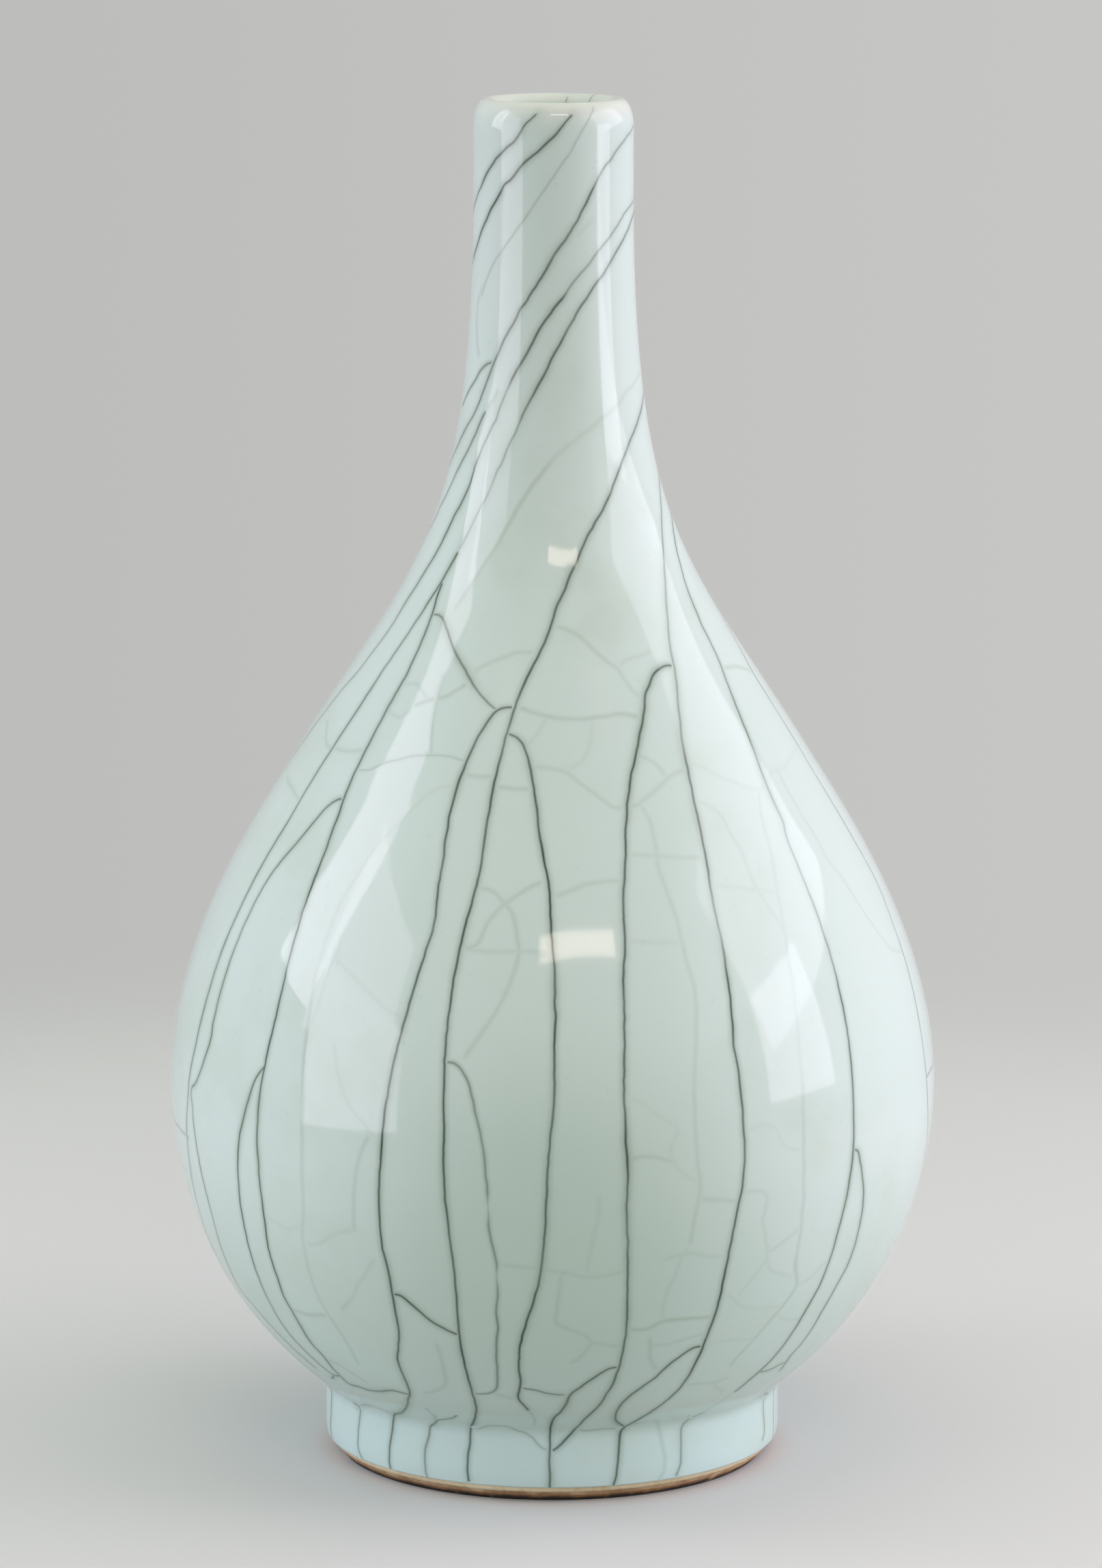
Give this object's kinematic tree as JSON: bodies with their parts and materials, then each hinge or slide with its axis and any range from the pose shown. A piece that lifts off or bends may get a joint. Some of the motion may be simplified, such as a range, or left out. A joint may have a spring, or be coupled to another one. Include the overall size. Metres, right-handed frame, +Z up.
{
  "type": "crackle glaze bottle vase",
  "caption": "Globular bottle vase on a turned foot ring with a tall narrow neck and a rounded lip, stoneware under a pale crackled celadon glaze.",
  "frame": {"origin": "centre of the foot, on the surface that the vase stands on", "axes": "+Z up along the vase's axis of revolution, towards the mouth; the pictured side faces -Y"},
  "size_m": [0.1972, 0.1972, 0.35],
  "materials": {
    "celadon_glaze": "glossy pale blue-green glaze with dark-stained crackle",
    "stoneware": "bare buff stoneware",
    "slip": "fired joining slip",
    "iron_wash": "matt brown iron wash"
  },
  "bodies": {
    "root": {"foot_ring": "stoneware", "foot_dressing": "iron_wash", "lower_body": "stoneware", "upper_body": "stoneware", "neck": "stoneware", "foot_joint_slip": "slip", "belly_joint_slip": "slip", "neck_joint_slip": "slip", "outer_glaze": "celadon_glaze", "inner_glaze": "celadon_glaze", "well_glaze": "celadon_glaze"}
  },
  "joints": []
}
